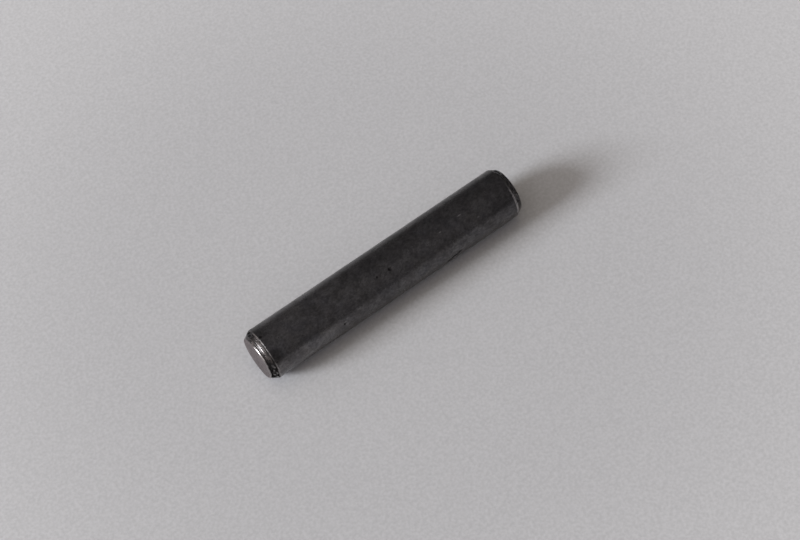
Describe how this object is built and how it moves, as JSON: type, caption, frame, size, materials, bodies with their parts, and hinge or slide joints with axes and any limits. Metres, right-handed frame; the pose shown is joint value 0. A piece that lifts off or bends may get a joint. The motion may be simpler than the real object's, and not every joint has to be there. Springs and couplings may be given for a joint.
{
  "type": "clutch push rod",
  "caption": "Plain dark steel push rod with flat end faces and chamfered, rounded rims, which slides in a bore and carries thrust along its axis.",
  "frame": {"origin": "centre of the lower end face, where the rod stands on its end", "axes": "+Z along the rod's axis, from the lower end face to the upper one; X and Y are free, because the rod is round"},
  "size_m": [0.008, 0.008, 0.0448],
  "materials": {
    "dark_steel": "hardened and ground, dark and oil-stained, with turned ends"
  },
  "bodies": {
    "root": {"push_rod": "dark_steel"}
  },
  "joints": []
}
